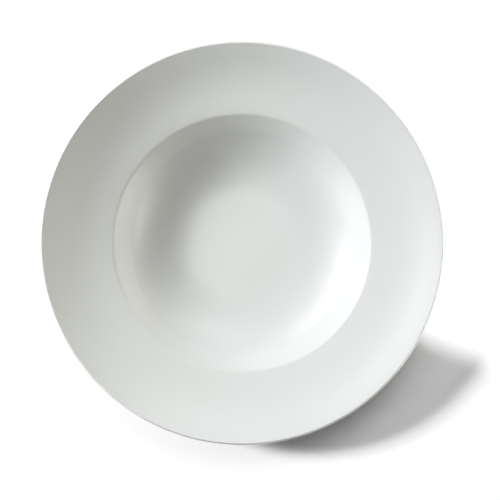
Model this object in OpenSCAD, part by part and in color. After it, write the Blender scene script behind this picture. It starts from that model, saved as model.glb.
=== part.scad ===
// Pasta plate of white porcelain: a deep round well inside a wide, gently rising rim.
// Millimetres. The plate stands on its foot ring at z = 0, with its axis on Z.
// One outline of the finished surface is turned round the axis. The clay body fills what lies
// a coat of glaze below that outline, and the two glaze pieces fill the coat itself.

/* [Plate] */
// Diameter over the rounded edge of the rim
plate_d = 300; // [284:1:330]
// Thickness of the rim at its rounded edge
edge_t = 4; // [3:0.1:5]
// Slope of the rim next to the lip, in degrees
rim_slope = 16; // [8:0.5:20]
// How much steeper the rim is next to its edge, in degrees
rim_turn = 14; // [4:0.5:16]
// Radius of the hollow curve that joins the two slopes of the rim
rim_curve_r = 130; // [80:5:150]

/* [Well] */
// Diameter of the flat floor
floor_d = 68; // [50:1:80]
// Diameter of the crease ring in the wall
crease_d = 167; // [158:1:174]
// Diameter of the lip between the band and the rim
lip_d = 193.5; // [186:0.5:204]
// Slope of the curved wall where it reaches the crease, in degrees
wall_slope = 38; // [32:0.5:44]
// How much steeper the straight band above the crease is, in degrees
band_turn = 5; // [2:0.5:8]
// Rounding of the crease
crease_r = 3; // [1:0.5:6]
// Rounding of the lip
lip_r = 7; // [3:0.5:9]

/* [Body] */
// Thickness of the flat base
base_t = 5; // [4:0.1:7]
// Thickness of the wall and of the rim at the lip
wall_t = 4.8; // [4:0.1:6]
// Rounding of the back where the wall meets the rim
back_lip_r = 14; // [6:1:16]

/* [Foot] */
// Outer diameter of the standing ring
foot_d = 112; // [104:1:122]
// Width of the foot ring where it stands
foot_w = 5; // [4:0.1:8]
// Depth of the recessed base inside the foot ring
recess_h = 3; // [2.8:0.1:5]
// Draft of both flanks of the foot, in degrees
foot_draft = 10; // [4:1:16]
// Rounding of the two standing edges
foot_edge_r = 0.9; // [0.5:0.1:1.2]
// Rounding between the outer flank and the back
foot_outer_r = 4; // [2:0.5:5]
// Rounding between the inner flank and the recessed base
foot_inner_r = 1.4; // [0.8:0.1:1.8]

/* [Glaze] */
// Thickness of the glaze
glaze_t = 0.3; // [0.2:0.05:0.45]
// Height of the bare clay left on the foot
bare_h = 0.9; // [0.7:0.1:1.1]

/* [Hidden] */

// Degrees between two points of a wide curve, and of a small rounding
curve_step = 2.5;
rounding_step = 6;
wide_r = 20;

// Points nearer than this are one point
same_point = 0.001;
$fn = 180;

floor_r = floor_d / 2;
crease_ring_r = crease_d / 2;
lip_ring_r = lip_d / 2;
foot_ring_r = foot_d / 2;
bend_ring_r = (lip_d + plate_d) / 4;
band_slope = wall_slope + band_turn;
edge_slope = rim_slope + rim_turn;
face_z = recess_h + base_t;

// The edge is crisp towards the face and well rounded towards the back
edge_face_r = edge_t * 0.2;
edge_back_r = edge_t * 0.6;

// The rim's curve keeps clear of the lip and the edge
rim_fit_r = min(rim_curve_r, 0.7 * (bend_ring_r - lip_ring_r) / tan(rim_turn / 2));
bend_t = (edge_t + wall_t) / 2;

// The wall's arc leaves the floor level and ends where the rounding of the crease begins
crease_run = crease_r * tan(band_turn / 2);
wall_r = (crease_ring_r - crease_run * cos(wall_slope) - floor_r) / sin(wall_slope);
wall_corner_r = floor_r + wall_r * tan(wall_slope / 2);

// The back of the wall runs round the same centre, down to where the foot's rounding begins
back_r = wall_r + wall_t;
foot_run = foot_outer_r * 1.15;
foot_slope = asin((foot_ring_r + foot_run - floor_r) / back_r);

// The standing edges are rounded within the bare height
draft_run = tan(foot_draft);
bare_flank = (bare_h + glaze_t) / cos(foot_draft);
stand_r = min(foot_edge_r, 0.95 * bare_flank / tan(45 + foot_draft / 2));

// A point moved by distance d square to the bisector of two slopes, into the clay
function under(p, slope_a, slope_b, d) =
    let (middle = (slope_a + slope_b) / 2)
    p + d / cos((slope_a - slope_b) / 2) * [sin(middle), -cos(middle)];

// A point reached from p along a slope, at radius r
function along(p, slope, r) = [r, p.y + (r - p.x) * tan(slope)];

// Where the straight lines through p and q, with two slopes, meet
function meet(p, slope_p, q, slope_q) =
    let (r = (q.y - p.y + p.x * tan(slope_p) - q.x * tan(slope_q)) / (tan(slope_p) - tan(slope_q)))
    along(p, slope_p, r);

// Corners of the face, from the axis out to the edge
face_centre = [0, face_z];
wall_corner = [wall_corner_r, face_z];
crease = along(wall_corner, wall_slope, crease_ring_r);
lip = along(crease, band_slope, lip_ring_r);
bend = along(lip, rim_slope, bend_ring_r);
edge_reach = edge_back_r * (cos(edge_slope) + sin(edge_slope) - 1) - edge_t * sin(edge_slope);
edge_top = along(bend, edge_slope, plate_d / 2 + edge_reach);

// Corners of the foot and of the recessed base, in to the axis
flank_stop = [foot_ring_r + (bare_h + glaze_t) * draft_run, bare_h];
stand_outer = [foot_ring_r, -glaze_t];
stand_inner = [foot_ring_r - foot_w, -glaze_t];
inner_stop = [foot_ring_r - foot_w - (bare_h + glaze_t) * draft_run, bare_h];
recess_corner = [foot_ring_r - foot_w - (recess_h + glaze_t) * draft_run, recess_h];
base_centre = [0, recess_h];

// Corners of the back, from the edge in to the foot
edge_bottom = edge_top + edge_t * [sin(edge_slope), -cos(edge_slope)];
back_bend = under(bend, rim_slope, edge_slope, bend_t);
back_lip = under(lip, band_slope, rim_slope, wall_t);
back_crease = under(crease, wall_slope, band_slope, wall_t);
arc_centre = [floor_r, face_z + wall_r];
arc_foot = arc_centre + back_r * [sin(foot_slope), -cos(foot_slope)];
back_corner = meet(back_crease, wall_slope, arc_foot, foot_slope);
foot_top = meet(arc_foot, foot_slope, stand_outer, 90 - foot_draft);

// Both roundings of the lip leave part of the band straight, however short the band is
lip_half_turn = (band_slope - rim_slope) / 2;
lip_share = 0.6;
lip_fit_r = min(lip_r, lip_share * norm(lip - crease) / tan(lip_half_turn));
back_lip_fit_r = min(back_lip_r, lip_share * norm(back_lip - back_crease) / tan(lip_half_turn));

// A corner p between neighbours before and after, as points on an arc of radius r
function rounded(before, p, after, r) =
    let (a = (before - p) / norm(before - p),
         b = (after - p) / norm(after - p),
         turn = 180 - acos(a * b),
         start = p + r * tan(turn / 2) * a,
         side = sign(b.x * a.y - b.y * a.x),
         centre = start + r * side * [a.y, -a.x],
         steps = max(2, ceil(turn / (r > wide_r ? curve_step : rounding_step))),
         spoke = start - centre)
    [for (k = [0 : steps])
        let (angle = side * turn * k / steps)
        centre + [spoke.x * cos(angle) - spoke.y * sin(angle),
                  spoke.x * sin(angle) + spoke.y * cos(angle)]];

// The same points without the repeats where one arc runs straight on into the next
function distinct(points) =
    [for (i = [0 : len(points) - 1])
        if (i == 0 || norm(points[i] - points[i - 1]) > same_point)
            points[i]];

// The finished surface, as stretches of one outline
coat_line = distinct(concat(
    [face_centre],
    rounded(face_centre, wall_corner, crease, wall_r),
    rounded(wall_corner, crease, lip, crease_r),
    rounded(crease, lip, bend, lip_fit_r),
    rounded(lip, bend, edge_top, rim_fit_r),
    rounded(bend, edge_top, edge_bottom, edge_face_r),
    rounded(edge_top, edge_bottom, back_bend, edge_back_r),
    rounded(edge_bottom, back_bend, back_lip, rim_fit_r),
    rounded(back_bend, back_lip, back_crease, back_lip_fit_r),
    rounded(back_lip, back_crease, back_corner, crease_r + wall_t),
    rounded(back_crease, back_corner, foot_top, back_r),
    rounded(back_corner, foot_top, flank_stop, foot_outer_r),
    [flank_stop]));
bare_line = concat(
    rounded(flank_stop, stand_outer, stand_inner, stand_r),
    rounded(stand_outer, stand_inner, inner_stop, stand_r));
base_line = concat(
    [inner_stop],
    rounded(inner_stop, recess_corner, base_centre, foot_inner_r),
    [base_centre]);
outline = concat(coat_line, bare_line, base_line);

// Direction into the clay, square to the outline between points i and i + 1
function inward(i) =
    let (step = (outline[i + 1] - outline[i]) / norm(outline[i + 1] - outline[i]))
    [step.y, -step.x];

// Point i of the outline moved a coat of glaze into the clay
function clay_point(i) =
    let (a = inward(max(i - 1, 0)),
         b = inward(min(i, len(outline) - 2)))
    outline[i] + glaze_t * (a + b) / (1 + a * b);

clay_line = [for (i = [0 : len(outline) - 1]) clay_point(i)];
coat_end = len(coat_line) - 1;
base_start = len(coat_line) + len(bare_line);
base_end = len(outline) - 1;

// Section of the glaze between two points of the outline
module glaze_section(first, last) {
    polygon(concat(
        [for (i = [first : last]) outline[i]],
        [for (i = [last : -1 : first]) clay_line[i]]));
}

// Clay with the floor, wall, band, lip, rim, foot ring and recessed base in one piece
module porcelain_body() {
    color("ivory")
        rotate_extrude()
            polygon(clay_line);
}

// Glass over the face, the edge, the back and the outer flank of the foot
module glaze_coat() {
    color("white")
        rotate_extrude()
            glaze_section(0, coat_end);
}

// Glass over the recessed base and the inner flank of the foot
module base_glaze() {
    color("white")
        rotate_extrude()
            glaze_section(base_start, base_end);
}

porcelain_body();
glaze_coat();
base_glaze();
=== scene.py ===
"""Pasta plate of white porcelain, dressed and lit for a picture from straight above.

Metres and degrees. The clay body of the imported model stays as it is. Its two glaze pieces are turned
again here, with finer curves and with the rounded bead in which glaze ends above a bare foot.
"""

import math

import bmesh
import bpy
from mathutils import Matrix, Vector


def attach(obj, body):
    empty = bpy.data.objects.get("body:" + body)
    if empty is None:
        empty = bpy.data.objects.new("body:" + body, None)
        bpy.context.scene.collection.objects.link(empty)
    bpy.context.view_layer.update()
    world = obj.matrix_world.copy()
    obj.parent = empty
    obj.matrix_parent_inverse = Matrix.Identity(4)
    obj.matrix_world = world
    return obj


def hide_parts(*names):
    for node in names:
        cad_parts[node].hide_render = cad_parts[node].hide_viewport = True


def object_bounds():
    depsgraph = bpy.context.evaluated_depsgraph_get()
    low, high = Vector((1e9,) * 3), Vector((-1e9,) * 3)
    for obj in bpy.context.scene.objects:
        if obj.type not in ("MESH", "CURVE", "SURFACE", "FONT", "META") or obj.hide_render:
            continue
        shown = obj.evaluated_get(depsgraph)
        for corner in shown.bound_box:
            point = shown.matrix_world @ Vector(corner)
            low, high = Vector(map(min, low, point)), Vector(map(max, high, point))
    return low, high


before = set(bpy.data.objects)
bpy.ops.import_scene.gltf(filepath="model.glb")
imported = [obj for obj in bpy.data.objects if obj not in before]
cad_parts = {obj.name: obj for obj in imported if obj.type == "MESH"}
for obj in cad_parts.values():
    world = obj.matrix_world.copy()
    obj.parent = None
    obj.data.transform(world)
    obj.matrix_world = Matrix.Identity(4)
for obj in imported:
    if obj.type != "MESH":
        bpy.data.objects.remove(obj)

cad_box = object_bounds()
MM = 0.001

# The plate, with the sizes of the part's source
PLATE_D = 300 * MM
EDGE_T = 4 * MM
RIM_SLOPE = 16
RIM_TURN = 14
RIM_CURVE_R = 130 * MM

FLOOR_D = 68 * MM
CREASE_D = 167 * MM
LIP_D = 193.5 * MM
WALL_SLOPE = 38
BAND_TURN = 5
CREASE_R = 3 * MM
LIP_R = 7 * MM

BASE_T = 5 * MM
WALL_T = 4.8 * MM
BACK_LIP_R = 14 * MM

FOOT_D = 112 * MM
FOOT_W = 5 * MM
RECESS_H = 3 * MM
FOOT_DRAFT = 10
FOOT_OUTER_R = 4 * MM
FOOT_INNER_R = 1.4 * MM

GLAZE_T = 0.3 * MM
BARE_H = 0.9 * MM

# Sizes that follow from those, as they do in the part's source
PLATE_R = PLATE_D / 2
FLOOR_R = FLOOR_D / 2
CREASE_RING_R = CREASE_D / 2
LIP_RING_R = LIP_D / 2
BEND_RING_R = (LIP_D + PLATE_D) / 4
FOOT_RING_R = FOOT_D / 2
BAND_SLOPE = WALL_SLOPE + BAND_TURN
EDGE_SLOPE = RIM_SLOPE + RIM_TURN
EDGE_FACE_R = EDGE_T * 0.2
EDGE_BACK_R = EDGE_T * 0.6
FACE_Z = RECESS_H + BASE_T
FOOT_RUN = FOOT_OUTER_R * 1.15

# How finely the surfaces are turned, and the distances below which points count as one
SEGMENTS = 240
WIDE_R = 20 * MM
CURVE_STEP = 1.25
ROUNDING_STEP = 5
LEAST_STEPS = 3
BEAD_STEPS = 6
SAME_POINT = 0.01 * MM
ON_AXIS = 0.001 * MM

# The camera looks straight down, and the picture is taken to be 500 by 500
PICTURE_PX = 500
SENSOR_MM = 36
CAMERA_DISTANCE = 1.5
PLATE_RADIUS_PX = 202.3
PLATE_CENTRE_PX = (241.9, 243.0)

# Glaze: its colours, how rough it is, and the turned rings of the recessed base
WHITE = (0.864, 0.867, 0.856)
THIN = (0.855, 0.856, 0.84)
POOLED = (0.845, 0.855, 0.85)
CLOUD = (0.985, 0.985, 0.975)
SPECK = (0.52, 0.49, 0.44)
GLAZE_IOR = 1.55
GLAZE_ROUGHNESS = 0.33
ROUGHNESS_CHANGE = 0.03
STREAK_STRETCH = (0.02, 2.5, 1)
RING_PITCH = 2.4 * MM
RING_WOBBLE = 1.2 * MM
RING_DEPTH = 0.02 * MM

# Bare clay: its colours, and the lines that grinding leaves on the standing ring
BISCUIT = (0.80, 0.77, 0.70)
GROUND = (0.70, 0.68, 0.63)
GRAIN = (0.86, 0.84, 0.8)
SCUFF = (0.50, 0.49, 0.47)
LINE_PITCH = 0.5 * MM

# The floor, and the beam that clears part of its shadow
FLOOR_SIZE = 8
FLOOR_COLOUR = (0.93, 0.93, 0.93, 1)
FLOOR_ROUGHNESS = 0.9
FLOOR_GLOW = 0.12
BEAM_HEIGHT = 0.5
BEAM_SPREAD = 4

# Sorts of softbox: elevation, distance, width and height
OVERHEAD = (90, 1.8, 0.7, 0.7)
HIGH = (62, 1.6, 0.8, 0.5)
MIDDLE = (42, 1.6, 0.8, 0.4)
SIDE = (27, 1.6, 0.8, 0.35)
LOW = (15, 1.6, 0.8, 0.3)
CARD = (10, 1.6, 0.6, 0.15)
NEAR_CARD = (14, 0.7, 0.5, 0.15)

# Tints of the lamps, and stops of the curve that deepens the darker tones
SOFT = (1, 1, 0.97)
COOL = (0.945, 0.975, 1)
WARM = (1, 0.99, 0.93)
DEEPENED = ((0.2, 0.093), (0.35, 0.228), (0.5, 0.403), (0.716, 0.716))


def tan(degrees):
    return math.tan(math.radians(degrees))


def inward(slope):
    """The direction into the clay, square to a face with a slope."""
    angle = math.radians(slope)
    return Vector((math.sin(angle), -math.cos(angle)))


def along(start, slope, radius):
    """The point reached from start along a slope, at a radius."""
    return Vector((radius, start.y + (radius - start.x) * tan(slope)))


def under(corner, slope_before, slope_after, depth):
    """A corner between two slopes, moved into the clay."""
    reach = depth / math.cos(math.radians(slope_before - slope_after) / 2)
    return corner + reach * inward((slope_before + slope_after) / 2)


def meet(p, slope_p, q, slope_q):
    """Where the straight lines through p and q, with two slopes, meet."""
    rise = q.y - p.y + p.x * tan(slope_p) - q.x * tan(slope_q)
    return along(p, slope_p, rise / (tan(slope_p) - tan(slope_q)))


def rounded(before, corner, after, radius):
    """Points on the arc that rounds a corner between its two neighbours."""
    back = (before - corner).normalized()
    ahead = (after - corner).normalized()
    turn = math.pi - back.angle(ahead)
    start = corner + back * radius * math.tan(turn / 2)
    centre = corner + (back + ahead).normalized() * radius / math.cos(turn / 2)
    side = 1 if ahead.x * back.y - ahead.y * back.x > 0 else -1
    step = CURVE_STEP if radius > WIDE_R else ROUNDING_STEP
    count = max(LEAST_STEPS, math.ceil(math.degrees(turn) / step))
    spoke = start - centre
    return [centre + Matrix.Rotation(side * turn * k / count, 2) @ spoke for k in range(count + 1)]


def smooth(corners, radii):
    """The line through a row of corners, with every inner corner rounded by its own radius."""
    line = corners[:1]
    for before, corner, after, radius in zip(corners, corners[1:], corners[2:], radii):
        line += rounded(before, corner, after, radius)
    return line + corners[-1:]


def wall_radius():
    """Radius of the curved wall, which leaves the floor level and ends where the crease begins."""
    slope = math.radians(WALL_SLOPE)
    crease_run = CREASE_R * tan(BAND_TURN / 2) * math.cos(slope)
    return (CREASE_RING_R - crease_run - FLOOR_R) / math.sin(slope)


def face_corners():
    """Corners of the face, from its middle out to the edge."""
    centre = Vector((0, FACE_Z))
    wall = Vector((FLOOR_R + wall_radius() * tan(WALL_SLOPE / 2), FACE_Z))
    crease = along(wall, WALL_SLOPE, CREASE_RING_R)
    lip = along(crease, BAND_SLOPE, LIP_RING_R)
    bend = along(lip, RIM_SLOPE, BEND_RING_R)
    sine, cosine = math.sin(math.radians(EDGE_SLOPE)), math.cos(math.radians(EDGE_SLOPE))
    edge_reach = EDGE_BACK_R * (cosine + sine - 1) - EDGE_T * sine
    edge_top = along(bend, EDGE_SLOPE, PLATE_R + edge_reach)
    return [centre, wall, crease, lip, bend, edge_top]


def back_corners(crease, lip, bend, edge_top):
    """Corners of the back that lie behind those of the face, from the edge in to the foot."""
    edge_bottom = edge_top + EDGE_T * inward(EDGE_SLOPE)
    back_bend = under(bend, RIM_SLOPE, EDGE_SLOPE, (EDGE_T + WALL_T) / 2)
    back_lip = under(lip, BAND_SLOPE, RIM_SLOPE, WALL_T)
    back_crease = under(crease, WALL_SLOPE, BAND_SLOPE, WALL_T)
    wall_r = wall_radius()
    back_r = wall_r + WALL_T
    foot_slope = math.degrees(math.asin((FOOT_RING_R + FOOT_RUN - FLOOR_R) / back_r))
    arc_foot = Vector((FLOOR_R, FACE_Z + wall_r)) + back_r * inward(foot_slope)
    back_corner = meet(back_crease, WALL_SLOPE, arc_foot, foot_slope)
    foot_top = meet(arc_foot, foot_slope, Vector((FOOT_RING_R, -GLAZE_T)), 90 - FOOT_DRAFT)
    stop = Vector((FOOT_RING_R + (BARE_H + GLAZE_T) * tan(FOOT_DRAFT), BARE_H))
    return [edge_bottom, back_bend, back_lip, back_crease, back_corner, foot_top, stop]


def face_and_back():
    """The outline of the large glaze piece, from the middle of the face round the edge to the foot."""
    face = face_corners()
    back = back_corners(*face[2:])
    wall_r = wall_radius()
    face_radii = [wall_r, CREASE_R, LIP_R, RIM_CURVE_R, EDGE_FACE_R]
    back_radii = [EDGE_BACK_R, RIM_CURVE_R, BACK_LIP_R, CREASE_R + WALL_T, wall_r + WALL_T, FOOT_OUTER_R]
    return smooth(face + back, face_radii + back_radii)


def base():
    """The outline of the small glaze piece, from the middle of the recessed base to the foot."""
    inner_r = FOOT_RING_R - FOOT_W
    centre = Vector((0, RECESS_H))
    corner = Vector((inner_r - (RECESS_H + GLAZE_T) * tan(FOOT_DRAFT), RECESS_H))
    stop = Vector((inner_r - (BARE_H + GLAZE_T) * tan(FOOT_DRAFT), BARE_H))
    return smooth([centre, corner, stop], [FOOT_INNER_R])


def distinct(points):
    """The points without the repeats where one curve runs on into the next."""
    kept = points[:1]
    for p in points[1:]:
        if (p - kept[-1]).length > SAME_POINT:
            kept.append(p)
    return kept


def glaze_section(outline, into_clay):
    """Outline, rounded bead and clay side of a glaze piece.

    Clay lies to the right of the outline where into_clay is 1, and to the left where it is -1.
    """
    outline = distinct(outline)
    steps = [(b - a).normalized() for a, b in zip(outline, outline[1:])]
    clay = []
    for before, after, p in zip(steps[:1] + steps, steps + steps[-1:], outline):
        a = into_clay * Vector((before.y, -before.x))
        b = into_clay * Vector((after.y, -after.x))
        clay.append(p + GLAZE_T * (a + b) / (1 + a.dot(b)))
    middle = (outline[-1] + clay[-1]) / 2
    spoke = outline[-1] - middle
    half_turns = [-into_clay * math.pi * k / BEAD_STEPS for k in range(1, BEAD_STEPS)]
    bead = [middle + Matrix.Rotation(angle, 2) @ spoke for angle in half_turns]
    return outline + bead + clay[::-1]


def add_ring(bm, p):
    """The vertices that a point of a section becomes when it is turned. On the axis that is one."""
    if p.x < ON_AXIS:
        return [bm.verts.new((0, 0, p.y))]
    angles = [2 * math.pi * k / SEGMENTS for k in range(SEGMENTS)]
    return [bm.verts.new((p.x * math.cos(a), p.x * math.sin(a), p.y)) for a in angles]


def join_rings(bm, ring, after):
    """Smooth faces between two rings. They are triangles where one ring is a single vertex."""
    for k in range(SEGMENTS):
        n = (k + 1) % SEGMENTS
        corners = [side[i % len(side)] for side, i in ((ring, k), (ring, n), (after, n), (after, k))]
        face = bm.faces.new(list(dict.fromkeys(corners)))
        face.smooth = True


def turned(name, section):
    """A mesh object made by turning a section round Z."""
    bm = bmesh.new()
    rings = [add_ring(bm, p) for p in section]
    for ring, after in zip(rings, rings[1:]):
        join_rings(bm, ring, after)
    bmesh.ops.recalc_face_normals(bm, faces=bm.faces)
    mesh = bpy.data.meshes.new(name)
    bm.to_mesh(mesh)
    bm.free()
    piece = bpy.data.objects.new(name, mesh)
    bpy.context.scene.collection.objects.link(piece)
    return piece


def add_glaze(name, section, node, material):
    """A turned glaze piece that stands for a CAD node."""
    piece = turned(name, section)
    piece.data.materials.append(material)
    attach(piece, "root")
    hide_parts(node)


class Nodes:
    """Short ways to add nodes to one material."""

    def __init__(self, name):
        self.material = bpy.data.materials.new(name)
        self.material.use_nodes = True
        self.tree = self.material.node_tree
        self.shader = self.tree.nodes["Principled BSDF"]
        self.place = self.add("TexCoord").outputs["Object"]

    def add(self, kind, settings=None, inputs=None):
        """A node of a kind. Inputs are numbers, or outputs of other nodes."""
        node = self.tree.nodes.new("ShaderNode" + kind)
        for key, value in (settings or {}).items():
            setattr(node, key, value)
        for key, value in (inputs or {}).items():
            self.put(node, key, value)
        return node

    def put(self, node, key, value):
        """Give one input of a node a value, or link it to another node's output."""
        if isinstance(value, bpy.types.NodeSocket):
            self.tree.links.new(value, node.inputs[key])
        else:
            node.inputs[key].default_value = value

    def finish(self, **sockets):
        """Set the shader's sockets, named with underscores for spaces, and return the material."""
        for key, value in sockets.items():
            self.put(self.shader, key.replace("_", " "), value)
        return self.material

    def calculate(self, operation, a, b=0.0):
        return self.add("Math", {"operation": operation}, {0: a, 1: b}).outputs[0]

    def spread(self, value, low, high, to_low, to_high):
        """A value between low and high, carried over to another range."""
        ends = {"From Min": low, "From Max": high, "To Min": to_low, "To Max": to_high}
        return self.add("MapRange", None, {"Value": value, **ends}).outputs[0]

    def noise(self, grain, detail=2.0, stretch=(1, 1, 1), turn=0.0):
        """Smooth noise between 0 and 1, with lumps of about the size of a grain."""
        place = self.place
        if stretch != (1, 1, 1):
            turned_by = {"Vector": place, "Scale": stretch, "Rotation": (0, 0, math.radians(turn))}
            place = self.add("Mapping", None, turned_by).outputs[0]
        inputs = {"Vector": place, "Scale": 1 / grain, "Detail": detail}
        return self.add("TexNoise", None, inputs).outputs["Fac"]

    def spots(self, cell, size):
        """1 in the middle of sparse round spots of a size, and 0 outside them."""
        cells = self.add("TexVoronoi", None, {"Vector": self.place, "Scale": 1 / cell})
        return self.spread(cells.outputs["Distance"], 0, size / cell, 1, 0)

    def waves(self, value, pitch):
        """Waves between 0 and 1 that come back each time a value has grown by a pitch."""
        sine = self.calculate("SINE", self.calculate("MULTIPLY", value, 2 * math.pi / pitch))
        return self.spread(sine, -1, 1, 0, 1)

    def radius(self):
        """Distance from the plate's axis."""
        parts = self.add("SeparateXYZ", None, {"Vector": self.place}).outputs
        flat = self.add("CombineXYZ", None, {"X": parts["X"], "Y": parts["Y"]}).outputs[0]
        return self.add("VectorMath", {"operation": "LENGTH"}, {0: flat}).outputs["Value"]

    def height(self):
        """Height above the surface that the plate stands on."""
        return self.add("SeparateXYZ", None, {"Vector": self.place}).outputs["Z"]

    def ramp(self, value, stops):
        """A colour for a value, from a rising list of values and their colours."""
        low, high = stops[0][0], stops[-1][0]
        node = self.add("ValToRGB", None, {"Fac": self.spread(value, low, high, 0, 1)})
        points = node.color_ramp.elements
        while len(points) < len(stops):
            points.new(1)
        for point, (place, colour) in zip(points, stops):
            point.position = (place - low) / (high - low)
            point.color = (*colour, 1)
        return node.outputs["Color"]

    def mix(self, share, a, b, blend="MIX"):
        """Two colours mixed by a share."""
        colours = [c if isinstance(c, bpy.types.NodeSocket) else (*c, 1) for c in (a, b)]
        node = self.add("Mix", {"data_type": "RGBA", "blend_type": blend})
        # This node has the same names several times, so its sockets for colours go by number
        for key, value in zip((0, 6, 7), (share, *colours)):
            self.put(node, key, value)
        return node.outputs[2]

    def bumps(self, layers):
        """One normal from layers of height between 0 and 1, each with its depth in metres."""
        normal = None
        for height, depth in layers:
            node = self.add("Bump", None, {"Height": height, "Distance": depth})
            if normal is not None:
                self.put(node, "Normal", normal)
            normal = node.outputs[0]
        return normal


def glaze_colour(n):
    """White, a little warm where it is thin and cool where it pools, with clouds and sparse specks."""
    ring = n.ramp(n.radius(), [
        (0, WHITE),
        (CREASE_RING_R - 2 * MM, WHITE),
        (CREASE_RING_R, POOLED),
        (CREASE_RING_R + 2 * MM, WHITE),
        (LIP_RING_R - 4 * MM, WHITE),
        (LIP_RING_R, THIN),
        (LIP_RING_R + 4 * MM, WHITE),
        (PLATE_R - 3 * MM, WHITE),
        (PLATE_R, THIN),
    ])
    cloud = n.spread(n.noise(grain=45 * MM, detail=3), 0.3, 0.7, 0, 0.6)
    colour = n.mix(cloud, ring, n.mix(1, ring, CLOUD, "MULTIPLY"))
    specks = n.calculate("MULTIPLY", n.spots(cell=8 * MM, size=0.32 * MM), 0.5)
    return n.mix(specks, colour, SPECK)


def glaze_roughness(n):
    """A gloss that changes a little from place to place, with faint rubbed streaks in two directions."""
    least, most = GLAZE_ROUGHNESS - ROUGHNESS_CHANGE, GLAZE_ROUGHNESS + ROUGHNESS_CHANGE
    patches = n.spread(n.noise(grain=18 * MM, detail=3), 0.25, 0.75, least, most)
    one_way, other_way = (
        n.noise(grain=1 * MM, detail=1, stretch=STREAK_STRETCH, turn=turn) for turn in (28, -47))
    rubbed = n.spread(n.calculate("MAXIMUM", one_way, other_way), 0.72, 0.85, 0, 0.06)
    return n.calculate("ADD", patches, rubbed)


def glaze_material(name, ring_depth=0.0):
    """White glaze with a faint ripple and sparse pinholes, and with turned rings if they have a depth."""
    n = Nodes(name)
    colour, roughness = glaze_colour(n), glaze_roughness(n)
    layers = [
        (n.noise(grain=35 * MM, detail=1), 0.05 * MM),
        (n.noise(grain=2.6 * MM), 0.006 * MM),
        (n.spots(cell=9 * MM, size=0.28 * MM), -0.03 * MM),
    ]
    if ring_depth:
        wobble = n.spread(n.noise(grain=12 * MM), 0, 1, 0, RING_WOBBLE)
        layers.append((n.waves(n.calculate("ADD", n.radius(), wobble), RING_PITCH), ring_depth))
    return n.finish(Base_Color=colour, Roughness=roughness, Normal=n.bumps(layers), IOR=GLAZE_IOR)


def bare_material():
    """Unglazed porcelain: a dry fine grain, ground flat and a little grey where the plate stands."""
    n = Nodes("porcelain_bare")
    grain = n.noise(grain=0.35 * MM, detail=4)
    stain = n.noise(grain=7 * MM, detail=4)
    ground = n.ramp(n.height(), [(0, GROUND), (0.12 * MM, GROUND), (0.35 * MM, BISCUIT)])
    grained = n.mix(1, ground, GRAIN, "MULTIPLY")
    colour = n.mix(n.spread(grain, 0.35, 0.75, 0, 0.5), ground, grained)
    colour = n.mix(n.spread(stain, 0.55, 0.75, 0, 0.45), colour, SCUFF)
    roughness = n.spread(grain, 0.3, 0.7, 0.62, 0.85)
    normal = n.bumps([(grain, 0.03 * MM), (n.waves(n.radius(), LINE_PITCH), 0.006 * MM)])
    return n.finish(Base_Color=colour, Roughness=roughness, Normal=normal)


def add_floor():
    """A plain pale floor, a little self-lit so that it prints as white as studio paper."""
    bpy.ops.mesh.primitive_plane_add(size=FLOOR_SIZE)
    floor = bpy.context.object
    floor.name = "floor"
    floor.data.materials.append(Nodes("floor_white").finish(
        Base_Color=FLOOR_COLOUR,
        Roughness=FLOOR_ROUGHNESS,
        Emission_Color=(1, 1, 1, 1),
        Emission_Strength=FLOOR_GLOW,
    ))
    return floor


def add_light(name, kind):
    """A new lamp of a kind, which the camera doesn't see."""
    light = bpy.data.objects.new(name, bpy.data.lights.new(name, kind))
    light.visible_camera = False
    bpy.context.scene.collection.objects.link(light)
    return light


def add_panel(name, width, height, brightness):
    """A rectangular lamp that gives as much light as a panel at a brightness, where 1 is plain white."""
    light = add_light(name, "AREA")
    light.data.shape = "RECTANGLE"
    light.data.size, light.data.size_y = width, height
    light.data.energy = math.pi * width * height * brightness
    return light


def link_to_floor(light, floor, state):
    """Let a lamp light the floor alone (INCLUDE) or everything but the floor (EXCLUDE)."""
    group = bpy.data.collections.new(light.name + "_and_floor")
    group.objects.link(floor)
    group.collection_objects[0].light_linking.link_state = state
    light.light_linking.receiver_collection = group


def add_softbox(floor, name, sort, azimuth, brightness, tint):
    """A soft lamp aimed at the plate alone. Azimuth runs anticlockwise from +X, seen from above."""
    elevation, distance, width, height = sort
    light = add_panel(name, width, height, brightness)
    light.data.color = tint
    a, e = math.radians(azimuth), math.radians(elevation)
    away = Vector((math.cos(a) * math.cos(e), math.sin(a) * math.cos(e), math.sin(e)))
    light.location = away * distance
    light.rotation_euler = away.to_track_quat("Z", "Y").to_euler()
    link_to_floor(light, floor, "EXCLUDE")


def add_floor_sun(floor, name, azimuth, elevation, spread, brightness):
    """A broad sun on the floor alone, which keeps it white and draws a shadow of the plate."""
    light = add_light(name, "SUN")
    light.data.energy = math.pi * brightness / math.sin(math.radians(elevation))
    light.data.angle = math.radians(spread)
    light.rotation_euler = (0, math.radians(90 - elevation), math.radians(azimuth))
    link_to_floor(light, floor, "INCLUDE")


def add_floor_beam(floor, name, place, size, turn, brightness):
    """A beam straight down on a rectangle of floor, which clears the shadow there."""
    light = add_panel(name, *size, brightness)
    light.data.spread = math.radians(BEAM_SPREAD)
    light.location = (*place, BEAM_HEIGHT)
    light.rotation_euler = (0, 0, math.radians(turn))
    link_to_floor(light, floor, "INCLUDE")


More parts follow.
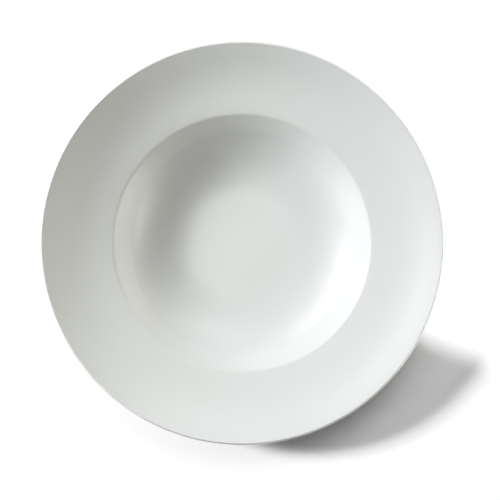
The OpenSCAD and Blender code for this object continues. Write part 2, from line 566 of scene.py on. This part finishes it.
def light_floor(floor):
    """The suns that draw the photograph's shadow, and the beam that clears it beside the plate."""
    add_floor_sun(floor, "floor_key", azimuth=167, elevation=42, spread=10, brightness=0.57)
    add_floor_sun(floor, "floor_fill", azimuth=122, elevation=69, spread=34, brightness=0.2)
    add_floor_sun(floor, "floor_back", azimuth=66, elevation=63, spread=24, brightness=0.18)
    beam = {"place": (0.243, 0.083), "size": (0.34, 0.36), "turn": -20}
    add_floor_beam(floor, "floor_beam", **beam, brightness=0.7)


def light_plate(floor):
    """The softboxes round the plate, each with its azimuth, its brightness and its tint."""
    add_softbox(floor, "overhead", OVERHEAD, 0, 3.1, SOFT)
    add_softbox(floor, "high_front", HIGH, 255, 0.8, SOFT)
    add_softbox(floor, "high_left", HIGH, 120, 0.45, SOFT)
    add_softbox(floor, "high_back", HIGH, 75, 0.8, SOFT)
    add_softbox(floor, "back", MIDDLE, 75, 2.5, COOL)
    add_softbox(floor, "key", SIDE, 165, 13.6, COOL)
    add_softbox(floor, "key_back", SIDE, 135, 8.0, COOL)
    add_softbox(floor, "key_front", SIDE, 217, 1.7, COOL)
    add_softbox(floor, "front_low", LOW, 197, 6.7, COOL)
    add_softbox(floor, "back_low", LOW, 102, 3.1, COOL)
    add_softbox(floor, "back_right", SIDE, 45, 1.3, WARM)
    add_softbox(floor, "right", SIDE, 345, 4.7, WARM)
    add_softbox(floor, "right_card", CARD, 334, 4.2, WARM)
    add_softbox(floor, "near_card", NEAR_CARD, 15, 3.2, WARM)
    add_softbox(floor, "near_card_front", NEAR_CARD, 340, 1.5, WARM)


def add_camera():
    """A long lens straight above, set so that the rim has the photograph's size and place."""
    data = bpy.data.cameras.new("camera")
    camera = bpy.data.objects.new("camera", data)
    scale = PLATE_R / PLATE_RADIUS_PX
    data.sensor_width = SENSOR_MM
    data.lens = SENSOR_MM * CAMERA_DISTANCE / (scale * PICTURE_PX)
    off_x, off_y = (PICTURE_PX / 2 - px for px in PLATE_CENTRE_PX)
    camera.location = (off_x * scale, -off_y * scale, cad_box[1].z + CAMERA_DISTANCE)
    bpy.context.scene.collection.objects.link(camera)
    bpy.context.scene.camera = camera


def set_world():
    """A white backdrop where the camera looks past the floor. It gives no light."""
    world = bpy.data.worlds.new("studio")
    world.use_nodes = True
    tree = world.node_tree
    background = tree.nodes["Background"]
    background.inputs["Color"].default_value = (1, 1, 1, 1)
    path = tree.nodes.new("ShaderNodeLightPath")
    tree.links.new(path.outputs["Is Camera Ray"], background.inputs["Strength"])
    bpy.context.scene.world = world


def set_tone(stops):
    """Print the brightness as it is, but deepen the darker tones along a curve through some stops."""
    view = bpy.context.scene.view_settings
    view.view_transform = "Standard"
    view.use_curve_mapping = True
    combined = view.curve_mapping.curves[3]
    for stop in stops:
        combined.points.new(*stop)
    view.curve_mapping.update()


face_section, base_section = glaze_section(face_and_back(), 1), glaze_section(base(), -1)
add_glaze("glaze_face_and_back", face_section, "glaze_coat", glaze_material("glaze_white"))
add_glaze("glaze_base", base_section, "base_glaze", glaze_material("glaze_turned", RING_DEPTH))
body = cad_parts["porcelain_body"]
body.material_slots[0].material = bare_material()

floor = add_floor()
light_floor(floor)
light_plate(floor)
set_world()
add_camera()
set_tone(DEEPENED)
